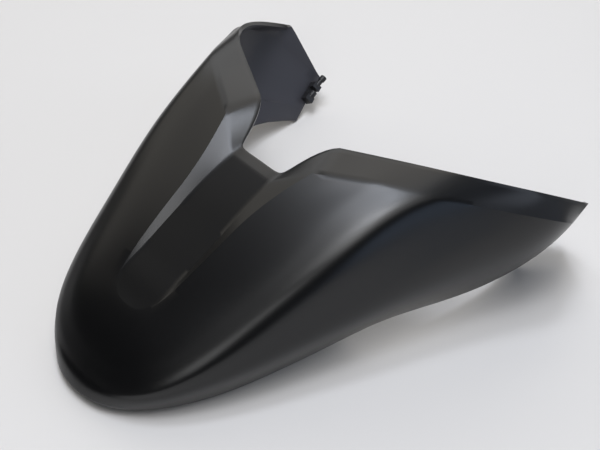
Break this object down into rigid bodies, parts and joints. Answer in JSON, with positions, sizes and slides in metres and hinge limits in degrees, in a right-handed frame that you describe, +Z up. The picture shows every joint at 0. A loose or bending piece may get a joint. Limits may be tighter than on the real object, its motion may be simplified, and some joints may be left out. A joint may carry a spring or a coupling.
{
  "type": "motorcycle seat cowl",
  "caption": "Black moulded rear seat cowl with long humps on both sides of a sunken middle channel and a deep notch between its forward wings.",
  "frame": {"origin": "on the ground, in the middle of the width and of the length", "axes": "+Z up, +Y forward from the tail to the wing tips, +X to the right"},
  "size_m": [0.2944, 0.3154, 0.1113],
  "materials": {
    "painted_shell": "satin black paint on moulded plastic",
    "pan_plastic": "plain moulded black",
    "zinc_steel": "zinc plated",
    "striker_steel": "zinc plated bar",
    "buffer_rubber": "moulded rubber",
    "peg_plastic": "plain moulded black"
  },
  "bodies": {
    "root": {"cowl_shell": "painted_shell", "base_pan": "pan_plastic", "pan_screws": "zinc_steel", "latch_striker": "striker_steel", "striker_screws": "zinc_steel", "rubber_buffers": "buffer_rubber", "left_peg_strip": "peg_plastic", "right_peg_strip": "peg_plastic"}
  },
  "joints": []
}
